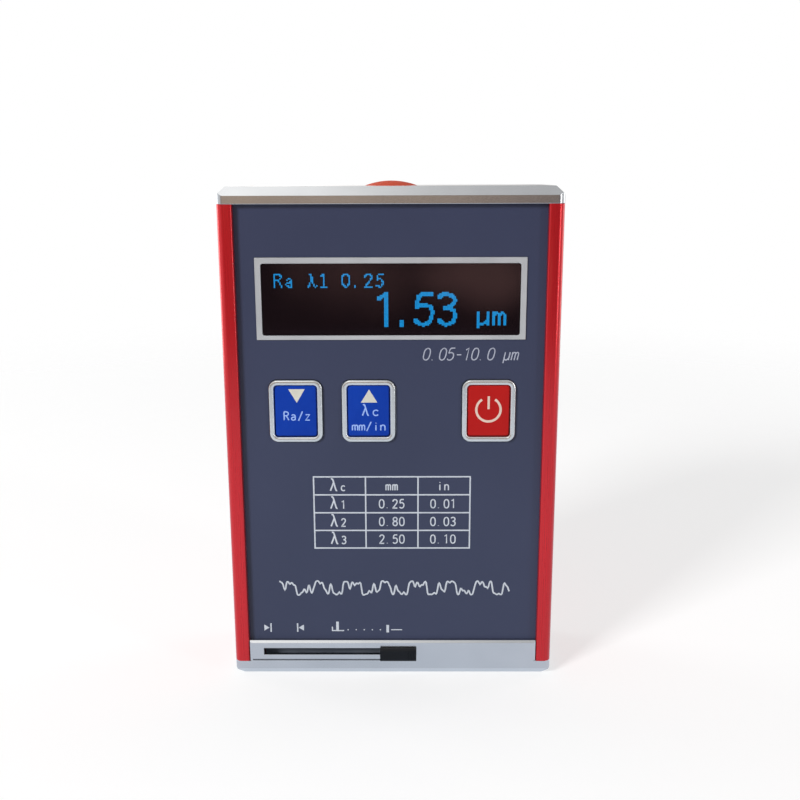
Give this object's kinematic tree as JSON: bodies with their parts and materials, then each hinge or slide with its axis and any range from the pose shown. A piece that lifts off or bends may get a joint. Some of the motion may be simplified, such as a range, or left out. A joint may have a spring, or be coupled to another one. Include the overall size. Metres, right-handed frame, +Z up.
{
  "type": "surface roughness tester",
  "caption": "Pocket surface roughness tester: red anodised case, navy front with display, keys and start button, and a shuttered stylus window in the base.",
  "frame": {"origin": "centre of the flat bottom face, which is the measuring face it stands on", "axes": "+Z up along the case, -Y out of the front panel, +X to the right seen from the front"},
  "size_m": [0.07, 0.0251, 0.1075],
  "materials": {
    "red_anodised": "satin anodised",
    "plate_silver": "satin with polished bevels",
    "panel_navy": "fine matt film",
    "frame_silver": "satin silver",
    "smoked_window": "polished",
    "display_black": "gloss",
    "key_blue": "satin",
    "key_red": "satin",
    "button_red": "gloss",
    "board_green": "solder resist",
    "black_plastic": "fine texture",
    "steel": "bright",
    "drive_alloy": "as machined",
    "brass": "as machined"
  },
  "bodies": {
    "housing": {"case_extrusion": "red_anodised", "top_plate": "plate_silver", "bottom_plate": "plate_silver", "front_panel": "panel_navy", "display_bezel": "frame_silver", "display_window": "smoked_window", "display_module": "display_black", "rim_down": "frame_silver", "rim_up": "frame_silver", "rim_power": "frame_silver", "main_board": "board_green", "switch_down": "black_plastic", "switch_up": "black_plastic", "switch_power": "black_plastic", "board_posts": "brass", "board_screws": "steel", "battery": "black_plastic", "start_switch": "black_plastic", "top_screws": "steel", "bottom_screws": "steel", "slot_guard": "black_plastic", "drive_frame": "drive_alloy", "frame_screws": "steel", "motor": "steel", "guide_rod_front": "steel", "guide_rod_back": "steel"},
    "down_key": {"key_down": "key_blue"},
    "up_key": {"key_up": "key_blue"},
    "power_key": {"key_power": "key_red"},
    "start_key": {"start_button": "button_red"},
    "slider": {"slide_knob": "black_plastic", "shutter": "steel"},
    "screw": {"lead_screw": "steel"},
    "carriage_unit": {"carriage": "brass", "pivot_pin": "steel"},
    "pickup_unit": {"pickup": "drive_alloy", "stylus": "steel"}
  },
  "joints": [
    {"name": "key_down_press", "type": "slide", "parent": "housing", "child": "down_key", "axis": [0, 1, 0], "range_m": [0, 0.0004], "stiffness_N_per_m": 1500},
    {"name": "key_up_press", "type": "slide", "parent": "housing", "child": "up_key", "axis": [0, 1, 0], "range_m": [0, 0.0004], "stiffness_N_per_m": 1500},
    {"name": "key_power_press", "type": "slide", "parent": "housing", "child": "power_key", "axis": [0, 1, 0], "range_m": [0, 0.0004], "stiffness_N_per_m": 1500},
    {"name": "start_press", "type": "slide", "parent": "housing", "child": "start_key", "axis": [0, 0, -1], "range_m": [0, 0.0006], "stiffness_N_per_m": 2000},
    {"name": "shutter_slide", "type": "slide", "parent": "housing", "child": "slider", "axis": [-1, 0, 0], "range_m": [0, 0.0249]},
    {"name": "screw_turn", "type": "hinge", "parent": "housing", "child": "screw", "pos_m": [0, 0.0058, 0.012], "axis": [-1, 0, 0], "range_deg": [0, 1080]},
    {"name": "carriage_slide", "type": "slide", "parent": "housing", "child": "carriage_unit", "axis": [-1, 0, 0], "range_m": [0, 0.006]},
    {"name": "pickup_lift", "type": "hinge", "parent": "carriage_unit", "child": "pickup_unit", "pos_m": [0.005, 0, 0.01], "axis": [0, 1, 0], "range_deg": [0, 13]}
  ],
  "couplings": [
    {"joint": "screw_turn", "follows": "carriage_slide", "rad_per_m": 3141},
    {"joint": "pickup_lift", "follows": "shutter_slide", "rad_per_m": 9.1}
  ]
}
